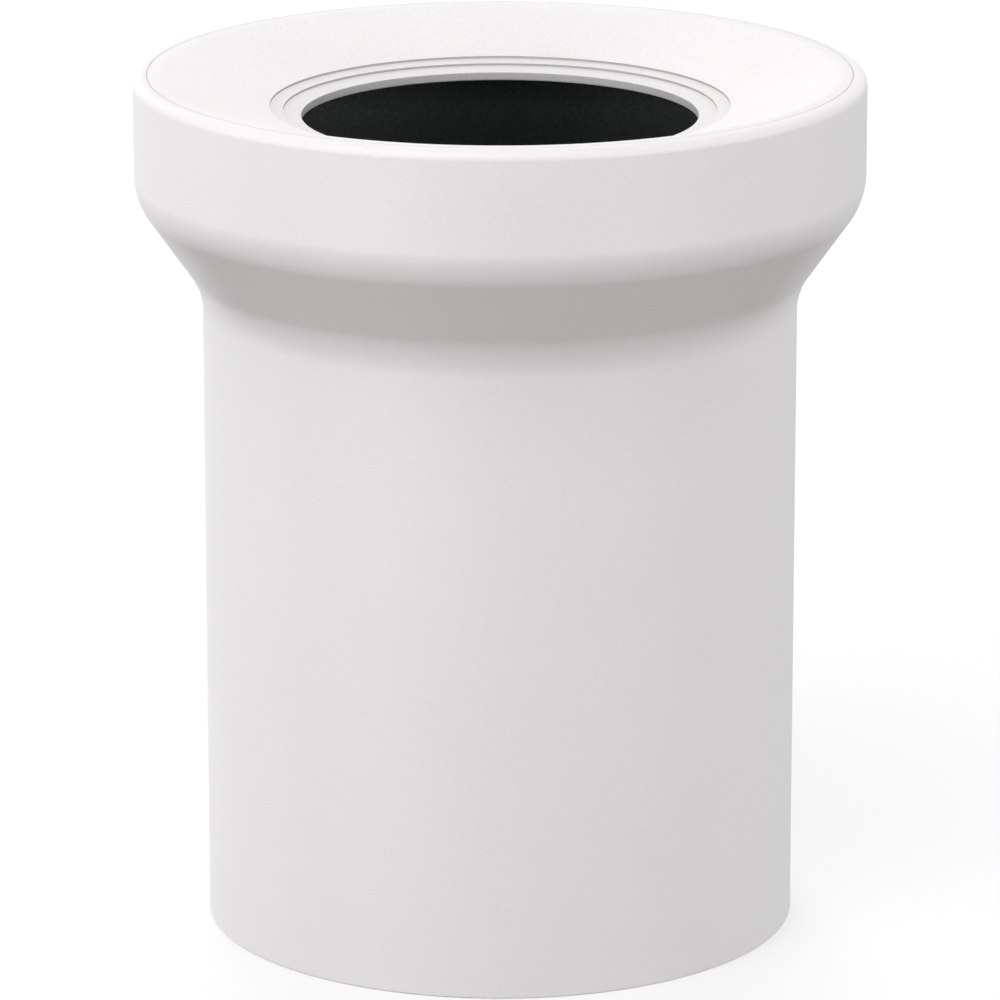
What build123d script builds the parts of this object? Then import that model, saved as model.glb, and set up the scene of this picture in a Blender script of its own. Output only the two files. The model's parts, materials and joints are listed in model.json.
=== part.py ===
"""Straight toilet pan connector: a moulded drain sleeve with a soft lip seal in its mouth."""
from build123d import *
import math
import os

# Sleeve, in millimetres and degrees.
SPIGOT_DIAMETER = 110.0   # standard outside size of a soil pipe
SPIGOT_LENGTH = 120.6     # plain tube, up to the sharp corner with the cone
SPIGOT_WALL = 3.2
CONE_ANGLE = 35.0         # measured from the axis
COLLAR_OVERHANG = 12.4    # how far the collar stands out beyond the tube
COLLAR_LENGTH = 22.2      # from the sharp corner with the cone up to the rim
COLLAR_WALL = 3.6
NECK_ROUND = 12.5         # hollow bend where the tube meets the cone
COLLAR_ROUND = 11.0       # full bend where the cone meets the collar
END_BREAK = 0.2           # bevel on both edges of the tube's lower end

# Seat for the seal, recessed into the collar's mouth.
SEAT_DEPTH = 10.0
LEDGE_WIDTH = 0.95        # shoulder the seal stands on
RIM_FLAT = 0.75           # top of the rim left level, the rest is rounded off
BEAD_WIDTH = 3.0          # groove in the seat, which the seal's bead snaps into
BEAD_HEIGHT = 0.8
SEAT_CLEARANCE = 0.05     # gap all round between the seal and its seat

# Lip seal.
HEEL_WALL = 3.2           # ring that stands in the seat
HEEL_HAUNCH = 2.0         # bevel that stiffens the inside corner between that ring and the funnel
BAND_WIDTH = 2.15         # flat band level with the rim
BAND_ROUND = 4.0          # bend from the flat band into the funnel
FUNNEL_SLOPE = 16.5       # measured from level
LIP_SLOPE = 12.0          # measured from level
LIP_DIAMETER = 73.0       # hole the pan's outlet pushes through
LIP_WALL = 1.6
LIP_BREAK = 0.3           # bevel on the lip's lower edge
LIP_WIDTH = 3.35          # from the hole out to the inner step
LAND_WIDTH = 2.45         # from the inner step out to the outer step
STEP_HEIGHT = 0.35        # each step thins the rubber by this much
EDGE_BREAK = 0.15         # bevel on both sides of the seam and on the lip's upper edge

# Radii and heights that follow from the sizes above.
spigot_radius = SPIGOT_DIAMETER / 2
bore_radius = spigot_radius - SPIGOT_WALL
collar_radius = spigot_radius + COLLAR_OVERHANG
bell_radius = collar_radius - COLLAR_WALL
seat_radius = bell_radius + LEDGE_WIDTH
rim_round = collar_radius - seat_radius - RIM_FLAT
cone_bottom = SPIGOT_LENGTH
cone_top = cone_bottom + COLLAR_OVERHANG / math.tan(math.radians(CONE_ANGLE))
half_bend = math.tan(math.radians(CONE_ANGLE / 2))
rim_height = cone_top + COLLAR_LENGTH
seat_height = rim_height - SEAT_DEPTH
bead_bottom = seat_height + (SEAT_DEPTH - BEAD_WIDTH) / 2
bead_top = bead_bottom + BEAD_WIDTH


def turned(corners):
    """Solid of revolution about Z from a closed section of (radius, height, corner round)."""
    points = [(radius, 0, height) for radius, height, _ in corners]
    rounds = [corner_round for _, _, corner_round in corners]
    section = make_face(FilletPolyline(*points, radius=rounds, close=True))
    return revolve(section, Axis.Z)


# Sleeve: the outside from the lower end up to the rim, then the inside back down.
sleeve = turned([
    (spigot_radius - END_BREAK, 0, 0),
    (spigot_radius, END_BREAK, 0),
    (spigot_radius, cone_bottom, NECK_ROUND),
    (collar_radius, cone_top, COLLAR_ROUND),
    (collar_radius, rim_height, rim_round),
    (seat_radius + EDGE_BREAK, rim_height, 0),
    (seat_radius, rim_height - EDGE_BREAK, 0),
    (seat_radius, bead_top, 0),
    (seat_radius + BEAD_HEIGHT, bead_top - BEAD_HEIGHT, 0),
    (seat_radius + BEAD_HEIGHT, bead_bottom + BEAD_HEIGHT, 0),
    (seat_radius, bead_bottom, 0),
    (seat_radius, seat_height, 0),
    (bell_radius, seat_height, 0),
    (bell_radius, cone_top + COLLAR_WALL * half_bend, COLLAR_ROUND - COLLAR_WALL),
    (bore_radius, cone_bottom + SPIGOT_WALL * half_bend, NECK_ROUND + SPIGOT_WALL),
    (bore_radius, END_BREAK, 0),
    (bore_radius + END_BREAK, 0, 0),
])

# Lip seal: the stepped top of the funnel inward to the hole, then the underside back out.
funnel_fall = math.tan(math.radians(FUNNEL_SLOPE))
lip_fall = math.tan(math.radians(LIP_SLOPE))
heel_outer = seat_radius - SEAT_CLEARANCE
heel_inner = heel_outer - HEEL_WALL
band_inner = heel_outer - BAND_WIDTH
lip_radius = LIP_DIAMETER / 2
inner_step = lip_radius + LIP_WIDTH
outer_step = inner_step + LAND_WIDTH
funnel_foot = rim_height - (band_inner - outer_step) * funnel_fall
land_top = funnel_foot - STEP_HEIGHT
land_foot = land_top - LAND_WIDTH * lip_fall
lip_top = land_foot - STEP_HEIGHT
lip_edge = lip_top - LIP_WIDTH * lip_fall
lip_under = lip_edge - LIP_WALL
bend_under = lip_under + (outer_step - lip_radius) * lip_fall
haunch_inner = heel_inner - HEEL_HAUNCH
haunch_under = bend_under + (haunch_inner - outer_step) * funnel_fall
lip_seal = turned([
    (heel_outer, seat_height, 0),
    (heel_outer, bead_bottom, 0),
    (heel_outer + BEAD_HEIGHT, bead_bottom + BEAD_HEIGHT, 0),
    (heel_outer + BEAD_HEIGHT, bead_top - BEAD_HEIGHT, 0),
    (heel_outer, bead_top, 0),
    (heel_outer, rim_height - EDGE_BREAK, 0),
    (heel_outer - EDGE_BREAK, rim_height, 0),
    (band_inner, rim_height, BAND_ROUND),
    (outer_step, funnel_foot, 0),
    (outer_step, land_top, 0),
    (inner_step, land_foot, 0),
    (inner_step, lip_top, 0),
    (lip_radius + EDGE_BREAK, lip_edge, 0),
    (lip_radius, lip_edge - EDGE_BREAK, 0),
    (lip_radius, lip_under + LIP_BREAK, 0),
    (lip_radius + LIP_BREAK, lip_under + LIP_BREAK * lip_fall, 0),
    (outer_step, bend_under, 0),
    (haunch_inner, haunch_under, 0),
    (heel_inner, haunch_under - HEEL_HAUNCH, 0),
    (heel_inner, seat_height, 0),
])

os.makedirs("parts", exist_ok=True)
for name, solid in (("sleeve", sleeve), ("lip_seal", lip_seal)):
    export_step(solid, f"parts/{name}.step")
    size = solid.bounding_box().size
    print(name, f"{size.X:.2f} x {size.Y:.2f} x {size.Z:.2f} mm, {solid.volume / 1000:.1f} cm3")
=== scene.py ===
# %% [markdown]
# # A straight toilet pan connector
# This part joins the outlet of a toilet pan to the soil pipe. It comes apart into two pieces: a white
# moulded sleeve, and a soft white lip seal that snaps into the sleeve's mouth. The script starts by
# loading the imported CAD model, which fixes where everything is. All lengths are in metres.

# %% Load the frame
import json
import math

import bmesh
import bpy
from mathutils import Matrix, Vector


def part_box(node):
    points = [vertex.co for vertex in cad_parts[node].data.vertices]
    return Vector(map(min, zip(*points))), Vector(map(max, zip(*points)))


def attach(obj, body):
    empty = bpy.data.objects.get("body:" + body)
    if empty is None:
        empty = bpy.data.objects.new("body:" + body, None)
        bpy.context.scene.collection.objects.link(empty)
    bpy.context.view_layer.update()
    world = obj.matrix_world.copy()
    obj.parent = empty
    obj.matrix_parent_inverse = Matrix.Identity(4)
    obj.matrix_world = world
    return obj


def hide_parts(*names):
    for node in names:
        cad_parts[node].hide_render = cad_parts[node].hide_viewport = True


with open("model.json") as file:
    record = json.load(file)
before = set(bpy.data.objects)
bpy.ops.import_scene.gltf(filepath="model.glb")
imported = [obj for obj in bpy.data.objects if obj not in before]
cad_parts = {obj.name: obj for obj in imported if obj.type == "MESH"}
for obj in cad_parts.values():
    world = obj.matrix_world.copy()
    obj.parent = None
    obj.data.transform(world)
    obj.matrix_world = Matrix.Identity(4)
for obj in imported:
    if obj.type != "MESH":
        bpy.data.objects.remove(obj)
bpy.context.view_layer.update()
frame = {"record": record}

# %% [markdown]
# ## Sizes from the frame
# The main radii and heights are read from the model and not typed again: the mounts say how wide the
# tube and the lip's hole are, and the boxes of the two solids give the collar, the rim and the ledge.
# Sizes that the frame doesn't give are written in millimetres where they are first needed.

# %% Sizes read from the frame
MM = 0.001
mounts = {mount["name"]: mount["dims"] for mount in frame["record"]["mounts"]}
_, sleeve_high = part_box("sleeve")
seal_low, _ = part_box("lip_seal")
SPIGOT_RADIUS = mounts["spigot"]["r_mm"] * MM
LIP_RADIUS = mounts["lip"]["r_mm"] * MM
COLLAR_RADIUS = sleeve_high.x
RIM_HEIGHT = sleeve_high.z
LEDGE_HEIGHT = seal_low.z
for name, size in (("tube", SPIGOT_RADIUS), ("collar", COLLAR_RADIUS), ("lip", LIP_RADIUS)):
    print(f"{name} radius {size / MM:.1f} mm")

# %% [markdown]
# ## The camera
# The photograph was taken from far away with a long lens, a little above the object, so the tube
# narrows only slightly towards its foot. The lens, distance and tilt were worked out from the width of
# the tube at two heights and from how far the round edges are flattened. The aim point is on the axis,
# about half way up, so the camera needs no shift.

# %% Camera
LENS_MM = 240.0
CAMERA_DISTANCE = 1.2447
CAMERA_ELEVATION = math.radians(15.604)
AIM_HEIGHT = 0.07884

bpy.ops.object.camera_add(
    location=(
        0,
        -CAMERA_DISTANCE * math.cos(CAMERA_ELEVATION),
        AIM_HEIGHT + CAMERA_DISTANCE * math.sin(CAMERA_ELEVATION),
    ),
    rotation=(math.pi / 2 - CAMERA_ELEVATION, 0, 0),
)
camera = bpy.context.object
camera.data.lens = LENS_MM
bpy.context.scene.camera = camera
bpy.context.scene.view_settings.view_transform = "Standard"
print("camera at", tuple(round(value, 3) for value in camera.location))

# %% [markdown]
# ## Turning a section
# Both pieces are round all the way, like work from a lathe. One way is to draw half the section and
# spin it. Here a ring is pushed along the section instead: extrude the ring, move it up or down, scale
# it in or out, and repeat. Every corner of the section then is one ring of edges, which is easy to
# find again by its radius and height when it has to be rounded.

# %% Ring helpers
RING_POINTS = 192
NEAR = 0.01 * MM


def start_ring(name, radius, height):
    """Adds a ring of edges with its place in the mesh, and leaves it selected in edit mode."""
    bpy.ops.object.select_all(action="DESELECT")
    bpy.ops.mesh.primitive_circle_add(vertices=RING_POINTS, radius=radius, location=(0, 0, height))
    bpy.ops.object.transform_apply(location=True)
    piece = bpy.context.object
    piece.name = piece.data.name = name
    bpy.ops.object.mode_set(mode="EDIT")
    bpy.ops.mesh.select_mode(type="EDGE")
    bpy.ops.mesh.select_all(action="SELECT")
    return piece


def push_ring(old, new):
    """Extrudes the selected ring from one (radius, height) to the next."""
    bpy.ops.mesh.extrude_edges_move(TRANSFORM_OT_translate={"value": (0, 0, new[1] - old[1])})
    scale = new[0] / old[0]
    bpy.ops.transform.resize(value=(scale, scale, 1), center_override=(0, 0, new[1]))


def turn(name, section):
    """Walks a ring round a closed section of (radius, height) corners, and closes it on its start."""
    piece = start_ring(name, *section[0])
    for old, new in zip(section, section[1:] + section[:1]):
        push_ring(old, new)
    bpy.ops.mesh.select_all(action="SELECT")
    bpy.ops.mesh.remove_doubles(threshold=NEAR / 10)
    bpy.ops.mesh.normals_make_consistent(inside=False)
    print(name, "has", len(section), "corners of", RING_POINTS, "points")
    return piece


def round_ring(piece, corner, reach, steps):
    """Rounds the edges of one ring. reach is how far the round runs along the walls on each side."""
    radius, height = corner
    mesh = bmesh.from_edit_mesh(piece.data)
    for edge in mesh.edges:
        edge.select = all(
            abs(math.hypot(v.co.x, v.co.y) - radius) < NEAR and abs(v.co.z - height) < NEAR
            for v in edge.verts
        )
    mesh.select_flush_mode()
    found = sum(edge.select for edge in mesh.edges)
    bmesh.update_edit_mesh(piece.data)
    bpy.ops.mesh.bevel(offset=reach, offset_type="OFFSET", segments=steps, profile=0.5, affect="EDGES")
    print(f"  rounded {found} edges at radius {radius / MM:.2f}, height {height / MM:.2f} mm")


# %% [markdown]
# ## Smooth shading
# A long straight wall beside a small round shades wrongly when the normals are simple averages: the
# round's tilt leaks far down the wall. Weighted normals let the large faces win, so the walls stay
# even and only the rounds bend the light. Edges sharper than the angle below stay crisp.

# %% Finishing a turned piece
SHARP_ANGLE = math.radians(32)


def finish_turned(piece):
    """Leaves edit mode, smooths the faces and applies weighted normals."""
    bpy.ops.object.mode_set(mode="OBJECT")
    bpy.ops.object.shade_smooth_by_angle(angle=SHARP_ANGLE)
    weighted = piece.modifiers.new("weighted normals", "WEIGHTED_NORMAL")
    weighted.keep_sharp = True
    bpy.ops.object.modifier_apply(modifier=weighted.name)
    print(piece.name, "has", len(piece.data.polygons), "faces")


# %% [markdown]
# ## The sleeve
# The sleeve is one injection moulding in white polypropylene: a plain tube that slides into the soil
# pipe, a cone, and a wider collar with a well rounded rim. Inside the mouth is a recess with a ledge
# and a groove, where the seal sits. The wall is close to even all the way, as a moulding's should be,
# so the inside corners follow the outside ones at the wall's thickness.

# %% Section of the sleeve
SPIGOT_LENGTH = 120.6 * MM
SPIGOT_WALL = 3.2 * MM
COLLAR_LENGTH = 22.2 * MM
COLLAR_WALL = 3.6 * MM
LEDGE_WIDTH = 0.95 * MM
CONE_ANGLE = math.radians(35)
BEAD_WIDTH = 3.0 * MM
BEAD_HEIGHT = 0.8 * MM

half_bend = math.tan(CONE_ANGLE / 2)
cone_top = RIM_HEIGHT - COLLAR_LENGTH
bore_radius = SPIGOT_RADIUS - SPIGOT_WALL
bell_radius = COLLAR_RADIUS - COLLAR_WALL
seat_radius = bell_radius + LEDGE_WIDTH
bead_bottom = (LEDGE_HEIGHT + RIM_HEIGHT - BEAD_WIDTH) / 2
bead_top = bead_bottom + BEAD_WIDTH

foot_outer = (SPIGOT_RADIUS, 0)
neck_outer = (SPIGOT_RADIUS, SPIGOT_LENGTH)
collar_outer = (COLLAR_RADIUS, cone_top)
rim_outer = (COLLAR_RADIUS, RIM_HEIGHT)
rim_inner = (seat_radius, RIM_HEIGHT)
bell_inner = (bell_radius, cone_top + COLLAR_WALL * half_bend)
neck_inner = (bore_radius, SPIGOT_LENGTH + SPIGOT_WALL * half_bend)
foot_inner = (bore_radius, 0)
seat_wall = [
    (seat_radius, bead_top),
    (seat_radius + BEAD_HEIGHT, bead_top - BEAD_HEIGHT),
    (seat_radius + BEAD_HEIGHT, bead_bottom + BEAD_HEIGHT),
    (seat_radius, bead_bottom),
    (seat_radius, LEDGE_HEIGHT),
    (bell_radius, LEDGE_HEIGHT),
]
outside = [foot_outer, neck_outer, collar_outer, rim_outer, rim_inner]
inside = [bell_inner, neck_inner, foot_inner]
sleeve = turn("sleeve_moulding", outside + seat_wall + inside)

# %% [markdown]
# ## Rounding the sleeve
# No edge of a moulding is truly sharp. The bevel tool rounds one ring at a time. Where two walls meet
# at an angle, a round of a given radius starts the radius times the tangent of half that angle away
# from the corner, so that distance is the bevel's reach. Large bends get many steps, small breaks few.

# %% Round the sleeve's corners
NECK_ROUND = 12.5 * MM
COLLAR_ROUND = 11.0 * MM
RIM_FLAT = 0.75 * MM
END_BREAK = 0.2 * MM
SEAM_BREAK = 0.12 * MM
rim_reach = COLLAR_RADIUS - seat_radius - RIM_FLAT

round_ring(sleeve, neck_outer, NECK_ROUND * half_bend, steps=16)
round_ring(sleeve, collar_outer, COLLAR_ROUND * half_bend, steps=16)
round_ring(sleeve, bell_inner, (COLLAR_ROUND - COLLAR_WALL) * half_bend, steps=10)
round_ring(sleeve, neck_inner, (NECK_ROUND + SPIGOT_WALL) * half_bend, steps=16)
round_ring(sleeve, rim_outer, rim_reach, steps=14)
round_ring(sleeve, rim_inner, SEAM_BREAK, steps=3)
round_ring(sleeve, foot_outer, END_BREAK, steps=4)
round_ring(sleeve, foot_inner, END_BREAK, steps=4)
finish_turned(sleeve)

# %% [markdown]
# ## The lip seal
# The seal is moulded in a soft white rubber. Its heel stands on the ledge and a bead on the heel snaps
# into the groove. A flat band lies level with the rim, and from there a shallow funnel leads the pan's
# outlet to the lip. Two small steps thin the rubber on the way, so the lip can stretch. The steps are
# only a third of a millimetre high, but each draws a clear line in the photograph, so they are real
# edges here.

# %% Section of the lip seal
SEAT_CLEARANCE = 0.05 * MM
SEAM_GAP = 0.02 * MM
HEEL_WALL = 3.2 * MM
HEEL_HAUNCH = 2.0 * MM
BAND_WIDTH = 2.15 * MM
LIP_WALL = 1.6 * MM
LIP_WIDTH = 3.35 * MM
LAND_WIDTH = 2.45 * MM
STEP_HEIGHT = 0.35 * MM
FUNNEL_SLOPE = math.radians(16.5)
LIP_SLOPE = math.radians(12)

funnel_fall = math.tan(FUNNEL_SLOPE)
lip_fall = math.tan(LIP_SLOPE)
heel_outer = seat_radius - SEAT_CLEARANCE
heel_inner = heel_outer - HEEL_WALL
band_inner = heel_outer - BAND_WIDTH
inner_step = LIP_RADIUS + LIP_WIDTH
outer_step = inner_step + LAND_WIDTH
funnel_foot = RIM_HEIGHT - (band_inner - outer_step) * funnel_fall
land_top = funnel_foot - STEP_HEIGHT
land_foot = land_top - LAND_WIDTH * lip_fall
lip_top = land_foot - STEP_HEIGHT
lip_edge = lip_top - LIP_WIDTH * lip_fall
lip_under = lip_edge - LIP_WALL
bend_under = lip_under + (outer_step - LIP_RADIUS) * lip_fall
haunch_inner = heel_inner - HEEL_HAUNCH
haunch_under = bend_under + (haunch_inner - outer_step) * funnel_fall

heel_edge = (seat_radius - SEAM_GAP, RIM_HEIGHT)
band_edge = (band_inner, RIM_HEIGHT)
hole_edge = (LIP_RADIUS, lip_edge)
hole_under = (LIP_RADIUS, lip_under)
step_edges = [(outer_step, funnel_foot), (inner_step, land_foot)]
step_feet = [(outer_step, land_top), (inner_step, lip_top)]
heel_wall = [
    (heel_outer, LEDGE_HEIGHT),
    (heel_outer, bead_bottom),
    (heel_outer + BEAD_HEIGHT, bead_bottom + BEAD_HEIGHT),
    (heel_outer + BEAD_HEIGHT, bead_top - BEAD_HEIGHT),
    (heel_outer, bead_top),
]
funnel_top = [heel_edge, band_edge]
for edge, foot in zip(step_edges, step_feet):
    funnel_top += [edge, foot]
underside = [
    hole_edge,
    hole_under,
    (outer_step, bend_under),
    (haunch_inner, haunch_under),
    (heel_inner, haunch_under - HEEL_HAUNCH),
    (heel_inner, LEDGE_HEIGHT),
]
seal = turn("lip_seal_ring", heel_wall + funnel_top + underside)

# %% [markdown]
# ## Rounding the seal
# The band bends gently into the funnel, and the lip's lower edge is eased so that it doesn't cut the
# outlet. The edges at the seam and on the steps are only just broken, to keep their lines fine.

# %% Round the seal's corners
BAND_ROUND = 4.0 * MM
EDGE_BREAK = 0.15 * MM
LIP_BREAK = 0.3 * MM
STEP_BREAK = 0.05 * MM

round_ring(seal, heel_edge, SEAM_BREAK, steps=3)
round_ring(seal, band_edge, BAND_ROUND * math.tan(FUNNEL_SLOPE / 2), steps=8)
round_ring(seal, hole_edge, EDGE_BREAK, steps=3)
round_ring(seal, hole_under, LIP_BREAK, steps=5)
for edge in step_edges:
    round_ring(seal, edge, STEP_BREAK, steps=2)
finish_turned(seal)

# %% [markdown]
# ## Writing shader maths as sums
# A material's pattern is a chain of nodes. Adding each node by hand hides the idea, so one small class
# wraps a socket: sums on it add Math nodes, and its node method adds any other kind.

# %% Shader sockets with operators
class Wire:
    """One output socket of a node tree. Sums on it add Math nodes to the tree."""

    def __init__(self, tree, socket=None):
        self.tree = tree
        self.socket = socket

    def node(self, kind, settings, inputs, output=0):
        """Adds a node, sets its settings first, then fills or links its input sockets."""
        made = self.tree.nodes.new(kind)
        for name, value in settings.items():
            setattr(made, name, value)
        for name, value in inputs.items():
            if isinstance(value, Wire):
                self.tree.links.new(value.socket, made.inputs[name])
            else:
                made.inputs[name].default_value = value
        return Wire(self.tree, made.outputs[output] if made.outputs else None)

    def maths(self, operation, first, second):
        """Adds a Math node for two values, each a wire or a number."""
        return self.node("ShaderNodeMath", {"operation": operation}, {0: first, 1: second})

    def __add__(self, other):
        return self.maths("ADD", self, other)

    def __sub__(self, other):
        return self.maths("SUBTRACT", self, other)

    def __rsub__(self, other):
        return self.maths("SUBTRACT", other, self)

    def __mul__(self, other):
        return self.maths("MULTIPLY", self, other)

    __radd__ = __add__
    __rmul__ = __mul__


# %% [markdown]
# ## Moulded finishes
# A mould's steel is sparked to a fine matt grain, and the moulding takes it over: under a lamp the
# surface shows a faint, very fine speckle, and its gloss varies a little in soft clouds. Both come
# from noise on the object's own coordinates. The grain goes to a bump, so that it catches the light as
# real grain does, and to the colour, because its pits hold a little shade. The clouds go to the
# roughness and, faintly, to the colour.

# %% Material helper
CLOUDS_PER_METRE = 45.0
CLOUD_SHARE = 0.2
NOISE_MIDDLE = 0.5


def moulded(name, colour, shade, roughness, gloss_drift, grain_size, grain_depth, specular=0.5):
    """A moulded finish: a fine grain and cloudy gloss. Returns the material, its place and its tint."""
    material = bpy.data.materials.new(name)
    material.use_nodes = True
    tree = material.node_tree
    shader = tree.nodes["Principled BSDF"]
    shader.inputs["Specular IOR Level"].default_value = specular
    start = Wire(tree)
    place = start.node("ShaderNodeTexCoord", {}, {}, output="Object")
    clouds = start.node(
        "ShaderNodeTexNoise", {}, {"Vector": place, "Scale": CLOUDS_PER_METRE, "Detail": 3.0}
    )
    grain = start.node(
        "ShaderNodeTexNoise", {}, {"Vector": place, "Scale": 1 / grain_size, "Detail": 2.0}
    )
    speckle = CLOUD_SHARE * clouds + (1 - CLOUD_SHARE) * grain
    tint = start.node(
        "ShaderNodeMix",
        {"data_type": "RGBA"},
        {"Factor": speckle, "A": (*shade, 1), "B": (*colour, 1)},
        output="Result",
    )
    gloss = roughness + gloss_drift * (clouds - NOISE_MIDDLE)
    bump = start.node("ShaderNodeBump", {}, {"Distance": grain_depth, "Height": grain})
    tree.links.new(tint.socket, shader.inputs["Base Color"])
    tree.links.new(gloss.socket, shader.inputs["Roughness"])
    tree.links.new(bump.socket, shader.inputs["Normal"])
    print(name, "has", len(tree.nodes), "nodes")
    return material, place, tint


# %% [markdown]
# ## The two whites
# The plastic is a cool white with a satin gloss and a fine grain. The rubber is a little warmer, more
# matt and coarser, so the two pieces can be told apart, as in the photograph.

# %% White plastic of the sleeve
white_plastic, _, _ = moulded(
    "white_polypropylene",
    colour=(0.87, 0.854, 0.86),
    shade=(0.76, 0.746, 0.752),
    roughness=0.34,
    gloss_drift=0.10,
    grain_size=0.40 * MM,
    grain_depth=0.03 * MM,
)
sleeve.data.materials.append(white_plastic)

# %% White rubber of the seal
white_rubber, place, tint = moulded(
    "white_seal_rubber",
    colour=(0.92, 0.906, 0.902),
    shade=(0.68, 0.669, 0.666),
    roughness=0.40,
    gloss_drift=0.08,
    grain_size=0.50 * MM,
    grain_depth=0.04 * MM,
)
seal.data.materials.append(white_rubber)

# %% [markdown]
# ## The thin lip
# Inside the outer step the rubber is thin, and some light goes through it into the bore. That loss of
# light
# is painted shade here: the lip's colour is made a little greyer than the thick funnel's. The corner at
# the foot of each step gets more painted shade, a soft band and a thin dark line, and so does the thin
# wall round the hole. All of it depends only on the distance from the axis: the length of the place
# with its height left out.

# %% Painted shade of the thin lip
# Strengths of the painted shade: the share of the colour that each one takes away.
LIP_PAINTED_SHADE = 0.07
CREASE_PAINTED_SHADE = 0.06
CREASE_REACH = 1.4 * MM
STEP_LINE_PAINTED_SHADE = 0.34
LINE_WIDTH = 0.08 * MM
HOLE_WALL_PAINTED_SHADE = 0.22
EDGE_SOFTNESS = 0.03 * MM


def ramp(value, low, high):
    """Rises smoothly from 0 at low to 1 at high; low may be the larger of the two."""
    return value.node(
        "ShaderNodeMapRange",
        {"interpolation_type": "SMOOTHSTEP"},
        {"Value": value, "From Min": low, "From Max": high},
    )


level = place.node("ShaderNodeVectorMath", {"operation": "MULTIPLY"}, {0: place, 1: (1, 1, 0)})
radius = level.node("ShaderNodeVectorMath", {"operation": "LENGTH"}, {0: level}, output="Value")
# Painted shade: the thin lip inside the outer step gets a greyer colour.
painted_shade = LIP_PAINTED_SHADE * ramp(radius, outer_step + EDGE_SOFTNESS, outer_step)
# Painted shade at each step: a soft band at its foot and a thin dark line on the step.
for step in (outer_step, inner_step):
    within = ramp(radius, step + EDGE_SOFTNESS, step)
    crease_shade = CREASE_PAINTED_SHADE * ramp(radius, step - CREASE_REACH, step)
    step_line_shade = STEP_LINE_PAINTED_SHADE * ramp(radius, step - LINE_WIDTH, step)
    painted_shade = painted_shade + within * (crease_shade + step_line_shade)
# Painted shade on the thin wall round the hole.
painted_shade = painted_shade + HOLE_WALL_PAINTED_SHADE * ramp(radius, LIP_RADIUS + LINE_WIDTH, LIP_RADIUS + EDGE_SOFTNESS)
# The painted shade mixes the rubber's colour towards black.
shaded_lip_tint = painted_shade.node(
    "ShaderNodeMix",
    {"data_type": "RGBA"},
    {"Factor": painted_shade, "A": tint, "B": (0, 0, 0, 1)},
    output="Result",
)
rubber_tree = white_rubber.node_tree
rubber_tree.links.new(shaded_lip_tint.socket, rubber_tree.nodes["Principled BSDF"].inputs["Base Color"])
print("the rubber now has", len(rubber_tree.nodes), "nodes")

# %% [markdown]
# ## Faces with a finish of their own
# A second material on one mesh is given face by face: pick the faces in edit mode, make the new slot
# the active one, and assign it. The faces are picked by where they are and where they point, so the
# rule is a small function of a face's centre and normal.

# %% Painting some faces
def paint_faces(piece, material, wanted):
    """Gives a material to the faces for which wanted(centre, normal) is true."""
    bpy.ops.object.select_all(action="DESELECT")
    piece.select_set(True)
    bpy.context.view_layer.objects.active = piece
    piece.data.materials.append(material)
    piece.active_material_index = len(piece.data.materials) - 1
    bpy.ops.object.mode_set(mode="EDIT")
    bpy.ops.mesh.select_mode(type="FACE")
    mesh = bmesh.from_edit_mesh(piece.data)
    for face in mesh.faces:
        face.select = wanted(face.calc_center_median(), face.normal)
    count = sum(face.select for face in mesh.faces)
    bmesh.update_edit_mesh(piece.data)
    bpy.ops.object.material_slot_assign()
    bpy.ops.object.mode_set(mode="OBJECT")
    print(piece.name, "has", count, "faces of", material.name)


# %% [markdown]
# ## The dark inside
# Seen through the lip, the inside of the sleeve is nearly black in the photograph. Its inner wall is
# painted near-black, as painted shade for the deep shade in the bore. An inside face looks at the axis,
# and those below the ledge are the bore.
# The lower end's flat face points down, so it stays white.

# %% Painted shade of the bore
# Painted shade: a near-black colour for the bore's inner wall.
painted_bore_shade, _, _ = moulded(
    "painted_bore_shade",
    colour=(0.175, 0.196, 0.189),
    shade=(0.020, 0.023, 0.022),
    roughness=0.6,
    gloss_drift=0.10,
    grain_size=0.45 * MM,
    grain_depth=0.03 * MM,
    specular=0.15,
)
LOOKS_INWARD = 0.5


def in_bore(centre, normal):
    """True for a face below the ledge that looks more at the axis than up or down."""
    inward = -(normal.x * centre.x + normal.y * centre.y) / math.hypot(centre.x, centre.y)
    return inward > LOOKS_INWARD and centre.z < LEDGE_HEIGHT


paint_faces(sleeve, painted_bore_shade, in_bore)

# %% [markdown]
# ## The seam
# Where the two pieces meet, their small rounds form a fine groove. It lies in shade, and in the
# photograph it draws a thin grey line all round the mouth. The rounds on both sides of it are painted
# greyer, as painted shade of the groove.

# %% Painted shade of the seam
# Painted shade: a greyer colour for the small rounds on both sides of the seam.
seam_painted_shade, _, _ = moulded(
    "seam_painted_shade",
    colour=(0.69, 0.68, 0.68),
    shade=(0.57, 0.562, 0.562),
    roughness=0.5,
    gloss_drift=0.06,
    grain_size=0.40 * MM,
    grain_depth=0.02 * MM,
)
STEEPEST, FLATTEST = 0.1, 0.98  # upward share of the normal: 0 on a wall, 1 on a level face


def in_seam(centre, normal):
    """True for a slanted face of the small rounds beside the seam."""
    beside = abs(math.hypot(centre.x, centre.y) - seat_radius) < SEAM_BREAK + SEAM_GAP
    return beside and centre.z > RIM_HEIGHT - SEAM_BREAK and STEEPEST < normal.z < FLATTEST


for piece in (sleeve, seal):
    paint_faces(piece, seam_painted_shade, in_seam)

# %% [markdown]
# ## Tying the pieces to the frame
# Each piece stands for the solid of its own name, which is hidden, and rides on the only body. The list
# also holds the name of the finish that the record gives it, which this cell doesn't use.

# %% Ride on the frame
for piece, node, slot in (
    (sleeve, "sleeve", "white_polypropylene"),
    (seal, "lip_seal", "white_seal_rubber"),
):
    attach(piece, "root")
    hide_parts(node)
    print(piece.name, "stands for", node)

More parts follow.
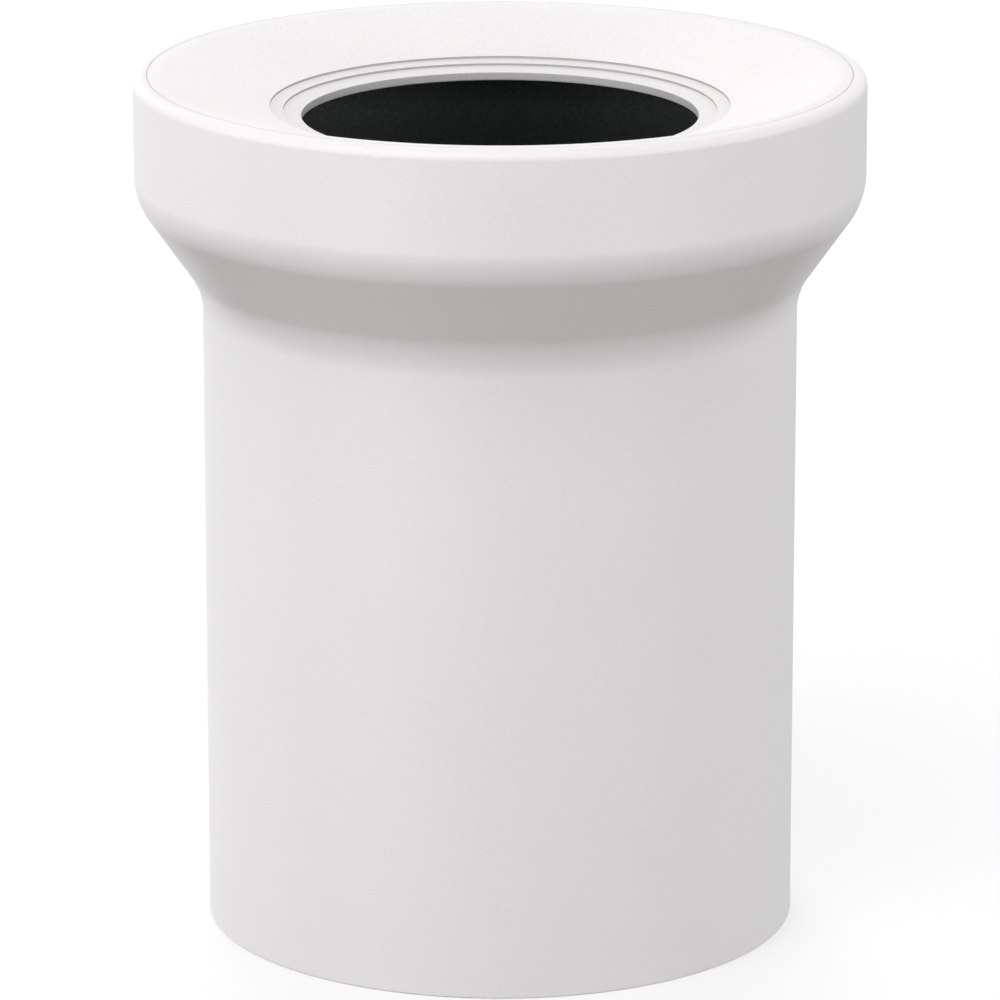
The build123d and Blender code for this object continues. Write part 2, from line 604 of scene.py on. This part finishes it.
# %% [markdown]
# ## The floor
# The photograph has a plain white ground. The floor is a pale plane. Seen by the camera it also glows
# a little, so that it reads as white, and it still darkens where the object keeps light away. For the
# light that bounces about it is a dark grey, a trace yellowish, because the cone's underside is dim in
# the photograph and slightly warmer than the walls. Reflections don't see it at all: they get a white
# room from the surroundings. From below the floor is clear, so the underside can be looked at.

# %% Floor
FLOOR_SIZE = 24.0
FLOOR_GAP = 0.1 * MM
FLOOR_SEEN = (0.35, 0.35, 0.35, 1)
FLOOR_BOUNCE = (0.11, 0.113, 0.101, 1)
FLOOR_GLOW = 0.6

bpy.ops.object.select_all(action="DESELECT")
bpy.ops.mesh.primitive_plane_add(size=FLOOR_SIZE, location=(0, 0, -FLOOR_GAP))
floor = bpy.context.object
floor.name = "floor"
floor.visible_glossy = False
floor_paint = bpy.data.materials.new("floor_paint")
floor_paint.use_nodes = True
floor_tree = floor_paint.node_tree
floor_tree.nodes.clear()
start = Wire(floor_tree)
seen = start.node("ShaderNodeLightPath", {}, {}, output="Is Camera Ray")
behind = start.node("ShaderNodeNewGeometry", {}, {}, output="Backfacing")
paint = start.node(
    "ShaderNodeMix",
    {"data_type": "RGBA"},
    {"Factor": seen, "A": FLOOR_BOUNCE, "B": FLOOR_SEEN},
    output="Result",
)
matt = start.node("ShaderNodeBsdfDiffuse", {}, {"Color": paint})
glow = start.node("ShaderNodeEmission", {}, {"Strength": seen * FLOOR_GLOW})
top = start.node("ShaderNodeAddShader", {}, {0: matt, 1: glow})
clear = start.node("ShaderNodeBsdfTransparent", {}, {})
either = start.node("ShaderNodeMixShader", {}, {"Fac": behind, 1: top, 2: clear})
start.node("ShaderNodeOutputMaterial", {}, {"Surface": either})
floor.data.materials.append(floor_paint)
print("floor", FLOOR_SIZE, "m wide")

# %% [markdown]
# ## Surroundings
# The camera sees white all round, and the matt walls get a weak, even light. Reflections see a pale
# room above the horizon, and at the back also a white band below it, a little weaker on the right.
# The tube's sides mirror that band at a flat angle, which gives them their light edges. The cone leans
# over and mirrors the dark below the band, so it stays dim.

# %% Surroundings
WHITE = (1, 1, 1, 1)
AMBIENT = 0.305
ROOM = 0.8
GLOW_LEFT = 1.0
GLOW_RIGHT = 0.72
GLOW_ENDS = (-0.6, -0.4)
BLEND = 0.1

world = bpy.data.worlds.new("studio")
bpy.context.scene.world = world
world.use_nodes = True
world_tree = world.node_tree
world_tree.nodes.clear()
start = Wire(world_tree)
seen = start.node("ShaderNodeLightPath", {}, {}, output="Is Camera Ray")
mirrored = start.node("ShaderNodeLightPath", {}, {}, output="Is Glossy Ray")
heading = start.node("ShaderNodeTexCoord", {}, {}, output="Generated")
across = start.node("ShaderNodeSeparateXYZ", {}, {"Vector": heading}, output="X")
along = start.node("ShaderNodeSeparateXYZ", {}, {"Vector": heading}, output="Y")
rise = start.node("ShaderNodeSeparateXYZ", {}, {"Vector": heading}, output="Z")
sides = GLOW_LEFT + (GLOW_RIGHT - GLOW_LEFT) * ramp(across, -BLEND, BLEND)
below = sides * ramp(along, -BLEND, BLEND) * ramp(rise, *GLOW_ENDS)
above = ramp(rise, -BLEND, 0.0)
mirror = ROOM * above + below * (1 - above)
strength = seen + mirrored * mirror + AMBIENT * (1 - seen - mirrored)
studio = start.node("ShaderNodeBackground", {}, {"Color": WHITE, "Strength": strength})
start.node("ShaderNodeOutputWorld", {}, {"Surface": studio})
print("surroundings at", AMBIENT)

# %% [markdown]
# ## Lamps
# The tube is brightest on its left and falls off gently to the right, the cone's underside is dim, and
# the funnel and the rim are lighter than the walls. So low soft boxes stand all round, stronger on the
# left, and two higher ones at the front and the back fill the funnel and draw the light line along the
# rim. They are hidden from reflections: the plastic mirrors the white room, not bright patches.

# %% Lamps
def softbox(name, azimuth, elevation, distance, width, height, power):
    """A soft box on a sphere round the object, aimed at its middle. Azimuth 0 is the camera's side."""
    swing, lift = math.radians(azimuth), math.radians(elevation)
    spot = (
        distance * math.cos(lift) * math.sin(swing),
        -distance * math.cos(lift) * math.cos(swing),
        AIM_HEIGHT + distance * math.sin(lift),
    )
    bpy.ops.object.light_add(type="AREA", location=spot, rotation=(math.pi / 2 - lift, 0, swing))
    lamp = bpy.context.object
    lamp.name = lamp.data.name = name
    lamp.data.shape = "RECTANGLE"
    lamp.data.size = width
    lamp.data.size_y = height
    lamp.data.energy = power
    lamp.visible_glossy = False
    print(name, "at", tuple(round(value, 2) for value in spot), power, "W")


LOW = {"elevation": 8, "distance": 1.6, "width": 1.0, "height": 0.7}
softbox("left_front", azimuth=-42, power=8.6, **LOW)
softbox("right_front", azimuth=42, power=9.8, **LOW)
softbox("left_side", azimuth=-85, power=9, **LOW)
softbox("right_side", azimuth=95, power=7.2, **LOW)
softbox("left_back", azimuth=-160, power=12, **LOW)
softbox("top_front", azimuth=-25, elevation=60, distance=1.5, width=0.9, height=0.9, power=9.6)
softbox("top_back", azimuth=180, elevation=36, distance=1.6, width=1.0, height=0.8, power=13.5)
